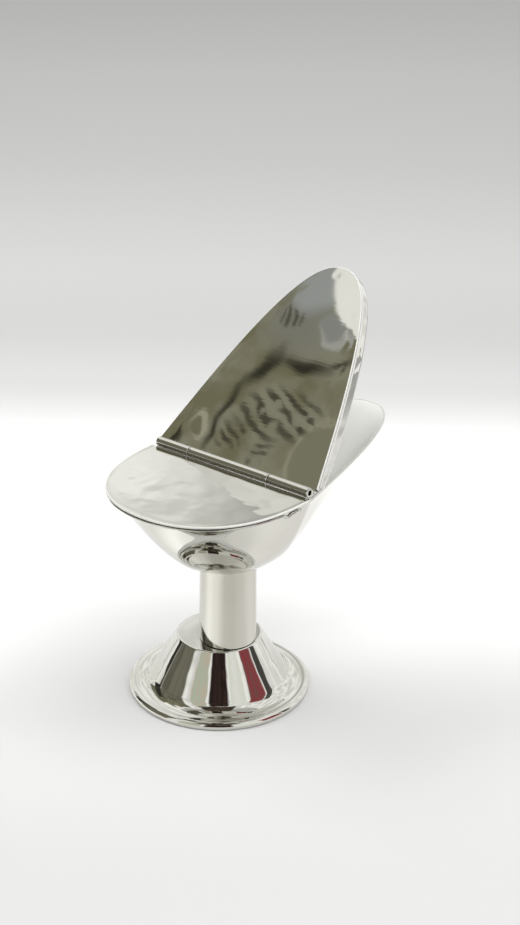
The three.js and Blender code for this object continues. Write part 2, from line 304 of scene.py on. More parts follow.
def plate(side, stations, across, rise):
    """The deck (side -1) or lid (side 1): a sheet with rounded edges, about the hinge's middle.

    rise(x, y, inset) lifts its surface, where inset is the distance from the plate's curved edge.
    It gives the points, the faces, and which points are on the rounded edge away from the hinge."""
    half = SHEET / 2
    last_station = 0.985
    edge_arc = 75
    edge_rings = 9

    def outline(grow, setback):
        """Half the plate's plan: x and half-width from the hinge to the far end."""
        turns = 0.25 * (1 - np.linspace(0, last_station, stations + 1))
        if side < 0:
            turns = 0.5 - turns
        plan = [plan_point(t, grow) for t in turns]
        return [(side * max(side * x, setback), y) for x, y in plan]

    inner = outline(OVERHANG - half, PLATE_SETBACK + half)
    outer = outline(OVERHANG, PLATE_SETBACK)
    curved_edge = np.array(outer + [(x, -y) for x, y in outer])
    spacing = np.sin(np.linspace(-math.pi / 2, math.pi / 2, across + 1))
    grid = np.array([[(x, y * s) for s in spacing] for x, y in inner])
    rim_grid = np.array([[(x, y * s) for s in spacing] for x, y in outer])
    loop = [(0, j) for j in range(across)] + [(i, across) for i in range(stations)]
    loop += [(stations, j) for j in range(across, 0, -1)] + [(i, 0) for i in range(stations, 0, -1)]
    lifted = []
    for x, y in grid.reshape(-1, 2):
        inset = np.linalg.norm(curved_edge - (x, y), axis=1).min()
        lifted.append((x, y, rise(x, y, inset)))
    lifted = np.array(lifted)
    points = [lifted + (0, 0, half), lifted - (0, 0, half)]
    corner = [i * (across + 1) + j for i, j in loop]
    loops = [corner]
    total = 2 * len(lifted)
    for angle in np.radians(np.linspace(edge_arc, -edge_arc, edge_rings)):
        ring = []
        for i, j in loop:
            x, y = grid[i, j] + (rim_grid[i, j] - grid[i, j]) * math.cos(angle)
            ring.append((x, y, rise(x, y, 0) + half * math.sin(angle)))
        points.append(np.array(ring))
        loops.append(list(range(total, total + len(loop))))
        total += len(loop)
    loops.append([k + len(lifted) for k in corner])
    faces = []
    for start in (0, len(lifted)):
        for i in range(stations):
            for j in range(across):
                a = start + i * (across + 1) + j
                faces.append((a, a + 1, a + across + 2, a + across + 1))
    for above, below in zip(loops, loops[1:]):
        for k in range(len(loop)):
            m = (k + 1) % len(loop)
            faces.append((above[k], above[m], below[m], below[k]))
    points = np.concatenate(points)
    on_edge = np.arange(len(points)) >= 2 * len(lifted)
    return points, faces, on_edge & (np.abs(points[:, 0]) > PLATE_SETBACK + SHEET)


def deck_rise(x, y, inset):
    """The deck's slow unevenness, which dies out at its soldered edge, where the sheet droops."""
    smooth_width = 9
    droop = 0.07
    droop_width = 2.5
    hills = unevenness((x, y, 0), DECK_HILLS)
    return hills * ramp(inset, 0, smooth_width) - droop * (1 - ramp(inset, 0, droop_width))


def bow_deck():
    """The fixed deck over the bow, with a lip turned down under the hinge."""
    points, faces, edge = plate(-1, 90, 110, deck_rise)
    half_lip = HALF_BEAM - LIP_CLEARANCE
    lip_bottom = -LIP_DEPTH + SHEET / 2
    profile = rounded_box(-PLATE_SETBACK - SHEET, -PLATE_SETBACK, lip_bottom, 0, SHEARED_ROUNDING)
    sections = [[(x, y, z) for x, z in profile] for y in np.linspace(-half_lip, half_lip, 40)]
    lip_points, lip_faces = skin(sections)
    faces = faces + [tuple(i + len(points) for i in face) for face in lip_faces]
    points = np.concatenate([points, lip_points])
    points = points + np.array([hinge.x, hinge.y, hinge.z + plate_level])
    piece = new_object("bow_deck", points, faces, "boat", "polished_plate")
    # The curved edge gets the pale matt painted highlight.
    return mark_painted_highlight(piece, list(edge) + [0] * len(lip_points))


def lid_frame(points):
    """Takes points of the closed lid, about the hinge axis, to the open lid's place."""
    swing = Matrix.Rotation(-LID_OPEN, 3, "Y")
    return [swing @ Vector(p) + hinge for p in points]


def lid_rise(x, y, inset):
    """The lid's beaten face: slow hills, small ones, and ripples along the margin."""
    ripples_full, ripples_end = 2, 8
    smooth_width = 5
    hills = unevenness((x, y, 0), LID_HILLS)
    ripples = unevenness((x, y, 0), LID_RIPPLES) * (1 - ramp(inset, ripples_full, ripples_end))
    return (hills + ripples) * ramp(inset, 0, smooth_width)


def lid_plate():
    points, faces, edge = plate(1, 150, 120, lid_rise)
    points = points + np.array([0, 0, plate_level])
    piece = new_object("lid_plate", lid_frame(points), faces, "lid", "polished_plate")
    # The curved edge gets the pale matt painted highlight.
    return mark_painted_highlight(piece, edge)


def lid_skirt():
    """The strip under the lid's edge, shallow at the hinge, dented by hand along its length."""
    rings = []
    top = plate_level - SHEET / 2 - GAP
    steps = 300
    wall_rows = 9
    shallower = 0.15
    inset = 0.08  # keeps the dents inside the lid's outline
    dent_height = 4
    for i in range(steps + 1):
        turn = SKIRT_END_TURN * (2 * i / steps - 1)
        outer = np.array(plan_point(turn, OVERHANG))
        inner = np.array(plan_point(turn, OVERHANG - SKIRT_WALL))
        low_outer = np.array(plan_point(turn, OVERHANG + SKIRT_FLARE))
        across = (inner - outer) / np.linalg.norm(inner - outer)
        reach = min(outer[0] / (SKIRT_FULL_AFT * STERN_LENGTH), 1)
        deepening = (SKIRT_DEPTH - SKIRT_DEPTH_AT_HINGE) * math.sin(reach * math.pi / 2)
        fall = SKIRT_DEPTH_AT_HINGE + deepening
        depth = fall - SHEET - SKIRT_WALL / 2
        depth += unevenness((outer[0], outer[1], 0), SKIRT_EDGE_WAVES) - shallower
        section = []
        for share in np.linspace(0, 1, wall_rows):
            dent = unevenness((outer[0], outer[1], dent_height * share), SKIRT_DENTS)
            dent *= math.sin(math.pi * share)
            xy = outer + (low_outer - outer) * share - across * (dent - inset)
            section.append((xy[0], xy[1], top - depth * share))
        for angle in np.radians(np.linspace(20, 160, 6)):
            xy = low_outer + across * (inset + SKIRT_WALL / 2 * (1 - math.cos(angle)))
            section.append((xy[0], xy[1], top - depth - SKIRT_WALL / 2 * math.sin(angle)))
        for share in np.linspace(1, 0, wall_rows):
            xy = outer + (low_outer - outer) * share + across * SKIRT_WALL
            section.append((xy[0], xy[1], top - depth * share))
        rings.append(section)
    points, faces = skin(rings)
    piece = new_object("lid_skirt", lid_frame(points), faces, "lid", "polished_plate")
    under_plate = (0, 1)  # a section's first two points carry the same pale matt painted highlight as the plate's edge above them
    return mark_painted_highlight(piece, [k % len(rings[0]) in under_plate for k in range(len(points))])


def along_hinge(points):
    """Takes points turned about Z to the hinge axis."""
    return [(hinge.x + x, hinge.y + z, hinge.z + y) for x, y, z in points]


def knuckle(name, body):
    """One tube of the hinge barrel, with softened ends."""
    start, end = low(name).y - hinge.y, high(name).y - hinge.y
    points, faces = turned(rounded_box(BARREL_BORE, radius_of(name), start, end, TURNED_ROUNDING, 24), 64)
    return new_object(name, along_hinge(points), faces, body, "polished_plate")


def hinge_pin():
    name = "hinge_pin"
    start, end = low(name).y - hinge.y, high(name).y - hinge.y
    rounding = TURNED_ROUNDING
    corner = radius_of(name) - rounding
    profile = arc((corner, start + rounding), rounding, -90, 0, 4)
    profile += arc((corner, end - rounding), rounding, 0, 90, 4)
    points, faces = turned(profile, 32, around=False)
    return new_object(name, along_hinge(points), faces, "boat", "fastener_steel")


def deck_seam():
    """Hand-run solder under the deck's edge, lumpy, and heaviest by the starboard hinge end."""
    rings = []
    steps = 520
    mess_turn = 0.722
    mess_width = 0.019
    bead, lump_size, mess_size = 0.34, 0.22, 0.55
    out_from_plan, mess_further_out = 0.45, 0.2
    below_rim, mess_lower = 0.55, 1.3
    flatness = 0.9
    for i in range(steps + 1):
        turn = SEAM_START_TURN + SEAM_TURN * i / steps
        here = np.array(plan_point(turn, 0))
        out = np.array(plan_point(turn, 1)) - here
        out /= np.linalg.norm(out)
        mess = math.exp(-((turn - mess_turn) / mess_width) ** 2)
        lump = 0.5 + 0.5 * wobble((here[0], here[1], 0), 5, 9.4)
        knob = 0.6 + wobble((here[0], here[1], 0), 2.4, 2.9)
        drip = 0.5 + wobble((here[0], here[1], 3), 3, 4.9)
        size = bead + lump_size * lump + mess_size * mess * knob
        centre = here + out * min(out_from_plan + mess_further_out * mess, SEAM_REACH - size)
        height = rim_height - below_rim - mess_lower * mess * drip
        ring = []
        for angle in np.linspace(0, 2 * math.pi, 13)[:-1]:
            reach = centre + out * size * math.cos(angle)
            z = height + flatness * size * math.sin(angle)
            ring.append((hinge.x + reach[0], hinge.y + reach[1], z))
        rings.append(ring)
    points, faces = skin(rings)
    return new_object("deck_solder_seam", points, faces, "boat", "solder", 60)


# ---- Foot, stem and fasteners ----
def foot_shell():
    """The spun foot: flat top, straight cone, concave run-out, flange and flattened rolled edge."""
    slope = math.atan2(cone_top - FLANGE_HEIGHT, CONE_BASE_RADIUS - CONE_TOP_RADIUS)
    lean = math.degrees(slope)
    inset = SHEET / math.sin(slope)
    foot_radius = radius_of("foot_shell")
    by_axis = 0.1
    mid_top = 8
    rim_centre = (foot_radius - RIM_ROUNDING, FLANGE_HEIGHT - RIM_ROUNDING)
    run_out = (CONE_BASE_RADIUS + FLANGE_FILLET * math.tan(slope / 2), FLANGE_HEIGHT + FLANGE_FILLET)
    top_corner = (CONE_TOP_RADIUS - EDGE_ROUNDING, cone_top - EDGE_ROUNDING)
    top_arc = arc(top_corner, EDGE_ROUNDING, 90, 90 - lean, 10)
    fillet = arc(run_out, FLANGE_FILLET, 270 - lean, 270, 26)
    inner_fillet = arc(run_out, FLANGE_FILLET + SHEET, 270, 270 - lean, 26)
    inner_edge = foot_radius - RIM_WIDTH
    profile = [(by_axis, cone_top), (mid_top, cone_top)] + top_arc
    profile += between(top_arc[-1], fillet[0], 24) + fillet
    profile += arc(rim_centre, RIM_ROUNDING, 90, 0, 16)
    profile += arc((foot_radius - RIM_UNDERCUT, RIM_UNDERCUT), RIM_UNDERCUT, 0, -90, 6)
    profile += arc((inner_edge + SHEARED_ROUNDING, SHEARED_ROUNDING), SHEARED_ROUNDING, 270, 180, 3)
    profile += [(inner_edge, FLANGE_HEIGHT - SHEET)] + inner_fillet
    profile += [(CONE_TOP_RADIUS - inset, cone_top - SHEET), (by_axis, cone_top - SHEET)]
    points, faces = turned(profile, 256, (foot_axis.x, foot_axis.y), around=False)
    smooth_to, beaten_from = 16, 20
    beaten_to, smooth_from = foot_radius - 1.0, foot_radius - 0.3
    shaped = []
    for p in points:
        out = Vector((p[0] - foot_axis.x, p[1] - foot_axis.y, 0))
        radius = out.length
        free = ramp(radius, smooth_to, beaten_from) * (1 - ramp(radius, beaten_to, smooth_from))
        shaped.append(Vector(p) + out.normalized() * free * unevenness(p, FOOT_HILLS))
    return new_object("foot_shell", shaped, faces, "boat", "polished_plate")


def stem_tube(hull_piece):
    """The plain tube, its upper end cut to the bowl's curve."""
    mesh = hull_piece.data
    corners = [v.co / MM for v in mesh.vertices]
    wall = BVHTree.FromPolygons(corners, [tuple(p.vertices) for p in mesh.polygons])
    bottom = low("stem_tube").z
    radius = radius_of("stem_tube")
    above_bottom = 5
    clearance = 0.12
    rings = []
    steps = 144
    for k in range(steps):
        angle = 2 * math.pi * k / steps
        out = Vector((math.cos(angle), math.sin(angle), 0))
        below = Vector((stem_axis.x, stem_axis.y, bottom + above_bottom)) + out * radius
        top = wall.ray_cast(below, Vector((0, 0, 1)))[0].z - clearance
        profile = rounded_box(radius - SHEET, radius, bottom, top, SHEARED_ROUNDING, 12)
        rings.append([(stem_axis.x + r * out.x, stem_axis.y + r * out.y, z) for r, z in profile])
    points, faces = skin(rings, around=True)
    return new_object("stem_tube", points, faces, "boat", "satin_tube")


def washer(name, slot):
    centre = middle(name)
    clearance = 0.4
    bore = radius_of("tie_rod") + clearance
    profile = rounded_box(bore, radius_of(name), low(name).z, high(name).z, TURNED_ROUNDING)
    points, faces = turned(profile, 72, (centre.x, centre.y))
    return new_object(name, points, faces, "boat", slot)


def nut(name, slot):
    """A hexagon nut with chamfered corners and a bore."""
    bottom, top = low(name).z, high(name).z
    centre = middle(name)
    corner = (high(name).y - low(name).y) / 2
    half_side = math.radians(30)
    flat = corner * math.cos(half_side)
    clearance = 0.15
    bore = radius_of("tie_rod") + clearance
    bore_chamfer = 0.3
    face_radius = 0.97 * flat
    blunt_corner = 0.985 * corner
    chamfer_slope, least_chamfer = 0.6, 0.05
    rings = []
    steps = 96
    for k in range(steps):
        angle = 2 * math.pi * k / steps
        off_flat = (angle + half_side) % (2 * half_side) - half_side
        radius = min(flat / math.cos(off_flat), blunt_corner)
        cut = chamfer_slope * (radius - flat) + least_chamfer
        profile = [(bore, bottom + bore_chamfer), (bore + bore_chamfer, bottom)]
        profile += [(face_radius, bottom), (radius, bottom + cut), (radius, top - cut), (face_radius, top)]
        profile += [(bore + bore_chamfer, top), (bore, top - bore_chamfer)]
        across, along = math.cos(angle), math.sin(angle)
        rings.append([(centre.x + r * across, centre.y + r * along, z) for r, z in profile])
    points, faces = skin(rings, around=True)
    return new_object(name, points, faces, "boat", slot, 25)


def tie_rod():
    """The threaded rod. Its threads are rows of close ridges at both ends."""
    name = "tie_rod"
    bottom, top = low(name).z, high(name).z
    centre = middle(name)
    radius = radius_of(name)
    pitch = 0.7
    threads = 16
    by_axis = 0.05
    root = radius - pitch / 2
    plain_radius = radius - 0.1
    end_gap = 0.3
    run_out = 1
    profile = [(by_axis, bottom), (root, bottom)]
    for k in range(threads):
        z = bottom + end_gap + pitch * k
        profile += [(root, z), (radius, z + pitch / 2)]
    plain_from = bottom + pitch * threads + run_out
    plain_to = top - pitch * threads - run_out
    profile += [(plain_radius, plain_from), (plain_radius, plain_to)]
    for k in range(threads):
        z = top - end_gap - pitch * (threads - k)
        profile += [(root, z), (radius, z + pitch / 2)]
    profile += [(root, top), (by_axis, top)]
    points, faces = turned(profile, 40, (centre.x, centre.y), around=False)
    return new_object(name, points, faces, "boat", "fastener_steel", 20)


hull_piece = hull()
pieces = [
    hull_piece, bow_deck(), lid_plate(), lid_skirt(), deck_seam(),
    foot_shell(), stem_tube(hull_piece), tie_rod(), hinge_pin(),
    washer("foot_washer", "fastener_steel"), washer("bowl_washer", "polished_plate"),
    nut("foot_nut", "fastener_steel"), nut("bowl_nut", "polished_plate"),
    knuckle("hinge_knuckle_port", "boat"), knuckle("lid_knuckle", "lid"),
    knuckle("hinge_knuckle_starboard", "boat"),
]


# ---- Shader helpers ----
class Graph:
    """A material's node tree, with short ways to add the nodes used here."""

    def __init__(self, name):
        self.material = bpy.data.materials.new(name)
        self.material.use_nodes = True
        self.nodes = self.material.node_tree.nodes
        self.shader = self.nodes["Principled BSDF"]

    def link(self, output, socket):
        self.material.node_tree.links.new(output, socket)

    def place(self, kind):
        return self.nodes.new("ShaderNodeTexCoord").outputs[kind]

    def mapped(self, vector, location=(0, 0, 0), turn=(0, 0, 0), scale=(1, 1, 1), kind="POINT"):
        node = self.nodes.new("ShaderNodeMapping")
        node.vector_type = kind
        node.inputs["Location"].default_value = location
        node.inputs["Rotation"].default_value = turn
        node.inputs["Scale"].default_value = scale
        self.link(vector, node.inputs["Vector"])
        return node.outputs["Vector"]

    def noise(self, vector, scale, detail=2.0, output="Fac"):
        node = self.nodes.new("ShaderNodeTexNoise")
        node.inputs["Scale"].default_value = scale
        node.inputs["Detail"].default_value = detail
        self.link(vector, node.inputs["Vector"])
        return node.outputs[output]

    def stripes(self, vector, scale, distortion):
        node = self.nodes.new("ShaderNodeTexWave")
        node.inputs["Scale"].default_value = scale
        node.inputs["Distortion"].default_value = distortion
        node.inputs["Detail"].default_value = 1.0
        node.inputs["Detail Scale"].default_value = 1.0
        self.link(vector, node.inputs["Vector"])
        return node.outputs["Fac"]

    def spread(self, value, low_in, high_in, low_out, high_out):
        """Takes one range of a value smoothly to another, and holds it beyond the ends."""
        node = self.nodes.new("ShaderNodeMapRange")
        node.interpolation_type = "SMOOTHSTEP"
        limits = {"From Min": low_in, "From Max": high_in, "To Min": low_out, "To Max": high_out}
        for key, number in limits.items():
            node.inputs[key].default_value = number
        self.link(value, node.inputs["Value"])
        return node.outputs["Result"]

    def times(self, first, second):
        node = self.nodes.new("ShaderNodeMath")
        node.operation = "MULTIPLY"
        self.link(first, node.inputs[0])
        self.link(second, node.inputs[1])
        return node.outputs["Value"]

    def blend(self, factor, first, number):
        """Goes from a value to a plain number as the factor goes from 0 to 1."""
        node = self.nodes.new("ShaderNodeMix")
        self.link(factor, node.inputs["Factor"])
        self.link(first, node.inputs["A"])
        node.inputs["B"].default_value = number
        return node.outputs["Result"]

    def tones(self, value, stops):
        """A colour that runs smoothly through (position, colour) stops."""
        node = self.nodes.new("ShaderNodeValToRGB")
        node.color_ramp.interpolation = "EASE"
        while len(node.color_ramp.elements) < len(stops):
            node.color_ramp.elements.new(0.5)
        for element, (position, color) in zip(node.color_ramp.elements, stops):
            element.position = position
            element.color = (*color, 1)
        self.link(value, node.inputs["Fac"])
        return node.outputs["Color"]

    def stirred(self, vector, shift, amounts):
        """A vector moved by another one times plain amounts."""
        node = self.nodes.new("ShaderNodeVectorMath")
        node.operation = "MULTIPLY_ADD"
        self.link(shift, node.inputs[0])
        node.inputs[1].default_value = amounts
        self.link(vector, node.inputs[2])
        return node.outputs["Vector"]

    def parts(self, vector):
        """The x and y of a vector."""
        node = self.nodes.new("ShaderNodeSeparateXYZ")
        self.link(vector, node.inputs["Vector"])
        return node.outputs["X"], node.outputs["Y"]

    def distance(self, vector):
        node = self.nodes.new("ShaderNodeVectorMath")
        node.operation = "LENGTH"
        self.link(vector, node.inputs[0])
        return node.outputs["Value"]

    def mix(self, factor, first, second):
        """Colours may be outputs or plain (r, g, b)."""
        node = self.nodes.new("ShaderNodeMix")
        node.data_type = "RGBA"
        self.link(factor, node.inputs["Factor"])
        for key, color in (("A", first), ("B", second)):
            if isinstance(color, tuple):
                node.inputs[key].default_value = (*color, 1)
            else:
                self.link(color, node.inputs[key])
        return node.outputs["Result"]

    def bump(self, height, strength, distance, normal=None):
        node = self.nodes.new("ShaderNodeBump")
        node.inputs["Strength"].default_value = strength
        node.inputs["Distance"].default_value = distance
        self.link(height, node.inputs["Height"])
        if normal:
            self.link(normal, node.inputs["Normal"])
        return node.outputs["Normal"]

    def glow(self, color, opacity=None):
        """Makes the material give off light, fading to clear where opacity is below 1."""
        self.nodes.remove(self.shader)
        emission = self.nodes.new("ShaderNodeEmission")
        self.link(color, emission.inputs["Color"])
        surface = emission.outputs["Emission"]
        if opacity:
            clear = self.nodes.new("ShaderNodeBsdfTransparent")
            mixer = self.nodes.new("ShaderNodeMixShader")
            self.link(opacity, mixer.inputs["Fac"])
            self.link(clear.outputs["BSDF"], mixer.inputs[1])
            self.link(surface, mixer.inputs[2])
            surface = mixer.outputs["Shader"]
        self.link(surface, self.nodes["Material Output"].inputs["Surface"])


# ---- Materials of the object ----
# Pale matt metal where a mesh marks it: a painted highlight for the bright edges and the bowl's bright
# inside.
PAINTED_HIGHLIGHT_ROUGHNESS = 0.5
PAINTED_HIGHLIGHT_METALLIC = 0.4
PAINTED_HIGHLIGHT_COLOR = (0.74, 0.74, 0.72)
STAIN_TINT = (0.86, 0.84, 0.78)
SMUDGES_PER_METRE = 60
STAINS_PER_METRE = 24
SCRATCHES_PER_METRE = 900
WAVES_PER_METRE = 110
SCRATCH_DEPTH = 0.00002
WAVE_DEPTH = 0.0002


def metal(name, color, roughness, scratch, wave, grime):
    """Plated metal: smudged roughness, faint stains, fine buffing scratches, a shallow unevenness.

    Where a mesh's highlight attribute is 1, inside the bowl and along the curved edges of deck and lid, the
    metal is pale and matt: a painted highlight, standing for the bright reflections there."""
    graph = Graph(name)
    place = graph.place("Object")
    smudge_noise = graph.noise(place, SMUDGES_PER_METRE, 3)
    smudges = graph.spread(smudge_noise, 0.35, 0.75, 0.8 * roughness, 1.4 * roughness)
    attribute = graph.nodes.new("ShaderNodeAttribute")
    attribute.attribute_name = "painted_highlight"
    painted_highlight = attribute.outputs["Fac"]
    graph.link(graph.blend(painted_highlight, smudges, PAINTED_HIGHLIGHT_ROUGHNESS), graph.shader.inputs["Roughness"])
    graph.link(graph.spread(painted_highlight, 0, 1, 1, PAINTED_HIGHLIGHT_METALLIC), graph.shader.inputs["Metallic"])
    stained = tuple(tint * part for tint, part in zip(STAIN_TINT, color))
    stains = graph.spread(graph.noise(place, STAINS_PER_METRE, 4), 0.45, 0.8, 0.0, grime)
    buffed = graph.mix(stains, color, stained)
    # The pale colour where marked is a painted highlight.
    graph.link(graph.mix(painted_highlight, buffed, PAINTED_HIGHLIGHT_COLOR), graph.shader.inputs["Base Color"])
    stretched = graph.mapped(place, turn=(0.3, 0.2, 0.5), scale=(1, 0.06, 1))
    fine = graph.bump(graph.noise(stretched, SCRATCHES_PER_METRE), scratch, SCRATCH_DEPTH)
    broad = graph.bump(graph.noise(place, WAVES_PER_METRE, 1), wave, WAVE_DEPTH, fine)
    graph.link(broad, graph.shader.inputs["Normal"])
    return graph.material


# Each look is its colour, its roughness, and how strong its scratches, waves and stains are.
LOOKS = {
    "polished_plate": ((0.63, 0.625, 0.59), 0.025, 0.08, 0.02, 0.6),
    "satin_tube": ((0.60, 0.59, 0.55), 0.14, 0.08, 0.03, 0.6),
    "fastener_steel": ((0.45, 0.46, 0.47), 0.3, 0.3, 0.1, 0.6),
    "solder": ((0.56, 0.555, 0.53), 0.13, 0.3, 0.6, 1.0),
}
finish = {name: metal(name, *look) for name, look in LOOKS.items()}
for piece in pieces:
    piece.data.materials.append(finish[piece["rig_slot"]])


# ---- Stage: floor, reflected surroundings, lights, camera ----
# The camera was fitted to the outlines in the photograph.
CAMERA_TURN = math.radians(218.41)  # about +Z from +X, from the object to the camera
CAMERA_RISE = math.radians(24.525)
CAMERA_DISTANCE = 0.71207
TARGET_AFT, TARGET_PORT, TARGET_HEIGHT = 11.867, -11.077, 99.665  # from the foot's axis and the floor
CAMERA_TARGET = Vector((foot_axis.x + TARGET_AFT, foot_axis.y + TARGET_PORT, TARGET_HEIGHT)) * MM
CAMERA_ROLL = math.radians(0.6)
LENS = 70.05
SURROUNDINGS_CENTRE = Vector((0, 0, 0.06))
SURROUNDINGS_RADIUS = 1.15
BLOTCH_DEGREES = 9
RAG_SCALE = 7.0
SKY = (0.58, 0.58, 0.555)


def direction(turn, rise):
    """A unit vector at a turn about +Z from +X, and at a rise from the level."""
    return Vector((math.cos(turn) * math.cos(rise), math.sin(turn) * math.cos(rise), math.sin(rise)))


away = direction(CAMERA_TURN, CAMERA_RISE)
viewpoint = CAMERA_TARGET + away * CAMERA_DISTANCE


def stage_object(name, points, faces, mat):
    mesh = bpy.data.meshes.new(name)
    mesh.from_pydata(points, [], faces)
    mesh.materials.append(mat)
    thing = bpy.data.objects.new(name, mesh)
    bpy.context.scene.collection.objects.link(thing)
    return thing


def seen_only_in_mirrors(thing):
    thing.visible_camera = False
    thing.visible_diffuse = False
    thing.visible_shadow = False


def around_object(turn, rise, radius):
    """A point of the surroundings. turn is from the camera's side, in degrees, positive to the right."""
    return SURROUNDINGS_CENTRE + radius * direction(CAMERA_TURN + math.radians(turn), math.radians(rise))


def curved_grid(name, across, up, place, mat):
    """A stage mesh of across x up cells, seen only in mirrors.

    place(u, v) gives a point, and the UV map holds u and v."""
    points = [tuple(place(i / across, j / up)) for j in range(up + 1) for i in range(across + 1)]
    faces = []
    for j in range(up):
        for i in range(across):
            corner = j * (across + 1) + i
            faces.append((corner, corner + 1, corner + across + 2, corner + across + 1))
    thing = stage_object(name, points, faces, mat)
    layer = thing.data.uv_layers.new(name="UVMap")
    for loop in thing.data.loops:
        j, i = divmod(loop.vertex_index, across + 1)
        layer.data[loop.index].uv = (i / across, j / up)
    seen_only_in_mirrors(thing)


def card(name, first, last, bottom, top, color, second, soft=0.12, radius=SURROUNDINGS_RADIUS):
    """A curved panel of two mixed colours. Its sides and its top are soft and ragged."""
    graph = Graph(name)
    place = graph.place("UV")
    cells = ((last - first) / BLOTCH_DEGREES, (top - bottom) / BLOTCH_DEGREES, 1)
    blotches = graph.noise(graph.mapped(place, (3 * first, 0, 0), scale=cells), 1.0, 3)
    color = graph.mix(graph.spread(blotches, 0.38, 0.62, 0, 1), color, second)
    rags = graph.noise(graph.mapped(place, (first, 0, 0)), RAG_SCALE, 2, "Color")
    rag_x, rag_y = 1.6 * soft, 1.2 * soft
    x, y = graph.parts(graph.stirred(place, rags, (rag_x, rag_y, 0)))
    left, right, upper = rag_x / 2, 1 + rag_x / 2, 1 + rag_y / 2
    opacity = graph.times(graph.spread(x, left, left + soft, 0, 1),
                          graph.spread(x, right - soft, right, 1, 0))
    opacity = graph.times(opacity, graph.spread(y, upper - soft, upper, 1, 0))
    graph.glow(color, opacity)

    def panel_place(u, v):
        return around_object(first + (last - first) * u, bottom + (top - bottom) * v, radius)

    curved_grid(name, 16, 8, panel_place, graph.material)


# The paper's colour by the distance behind the middle of the object as the camera sees it, in metres. Its
# gradient is painted light and shade: palest just behind the object, with painted shade in front and farther
# back.
PAPER_FROM, PAPER_TO = -0.5, 1.5
PAPER_LIGHT_AND_SHADE = ((-0.30, 0.60), (-0.15, 0.59), (-0.05, 0.64), (0.03, 0.80), (0.10, 0.88), (0.20, 0.86),
               (0.32, 0.59), (0.40, 0.55), (0.55, 0.60), (0.75, 0.60), (1.2, 0.66))
FLOOR_HALF = 6.0


def paper():
    graph = Graph("floor_paper")
    graph.shader.inputs["Roughness"].default_value = 0.9
    graph.shader.inputs["Specular IOR Level"].default_value = 0.0
    length = PAPER_TO - PAPER_FROM
    behind = graph.mapped(graph.place("Object"), (-PAPER_FROM / length, 0, 0),
                          (0, 0, math.pi - CAMERA_TURN), (1 / length, 1 / length, 1))
    x = graph.parts(behind)[0]
    stops = [((place - PAPER_FROM) / length, (tone, tone, 1.01 * tone)) for place, tone in PAPER_LIGHT_AND_SHADE]
    graph.link(graph.tones(x, stops), graph.shader.inputs["Base Color"])
    return graph.material


corner_sides = ((-1, -1), (1, -1), (1, 1), (-1, 1))
floor_corners = [(FLOOR_HALF * x, FLOOR_HALF * y, 0) for x, y in corner_sides]
stage_object("floor", floor_corners, [(0, 1, 2, 3)], paper())

# A pale tent stands round the object, with dark, coloured and bright panels inside it on the camera's side.
# Each has its sides, bottom and top in degrees, its two colours and, where they aren't the usual ones, its
# softness and its distance.
card("tent", -180, 180, -5, 64, (0.88, 0.88, 0.86), (1.26, 1.26, 1.23), 0.02, 1.30)
card("olive_edge", -119, -104, 2, 42, (0.03, 0.03, 0.025), (0.06, 0.06, 0.05))
card("olive_front", -107, -58, 2, 44, (0.155, 0.15, 0.115), (0.23, 0.22, 0.17))
card("peach", -49, -20, -1, 52, (0.72, 0.62, 0.50), (0.60, 0.68, 0.56))
card("doorway", -20, 19, -1, 50, (0.03, 0.02, 0.018), (0.06, 0.035, 0.03))
card("pale_green", 18, 46, -1, 50, (0.98, 1.01, 0.93), (1.06, 1.06, 1.03))
card("red_shelf", 51, 82, 2, 42, (0.36, 0.06, 0.08), (0.24, 0.10, 0.09))
card("grey_shelf", 82, 95, 2, 40, (0.12, 0.12, 0.105), (0.08, 0.08, 0.07))
card("lintel", -46, 38, 47, 86, (0.05, 0.035, 0.028), (0.10, 0.08, 0.06))
card("olive_wall", -130, -62, 16, 61, (0.235, 0.225, 0.155), (0.19, 0.185, 0.125), 0.05, 1.22)
card("lamp", -146, -117, 50, 63, (1.3, 1.28, 1.2), (1.2, 1.2, 1.15), 0.15)

# What the open lid mirrors. It is drawn in the lid's own millimetres, aft of the hinge and to port.
OLIVE = (0.225, 0.215, 0.135)
OLIVE_LIGHT = (0.32, 0.315, 0.235)
GREY = (0.28, 0.28, 0.24)
BLUISH = (0.42, 0.44, 0.44)
DARK = (0.045, 0.043, 0.03)
DASH = (0.085, 0.08, 0.055)
WHITE = (1.15, 1.15, 1.1)
LID_VIEW_FROM, LID_VIEW_SIZE = (-30, -70), (160, 140)
LID_VIEW_RADIUS = 1.12
LID_VIEW_SWIRL = 7
WAVE_SCALE = 0.314  # the scale at which a Wave texture has one stripe for each unit

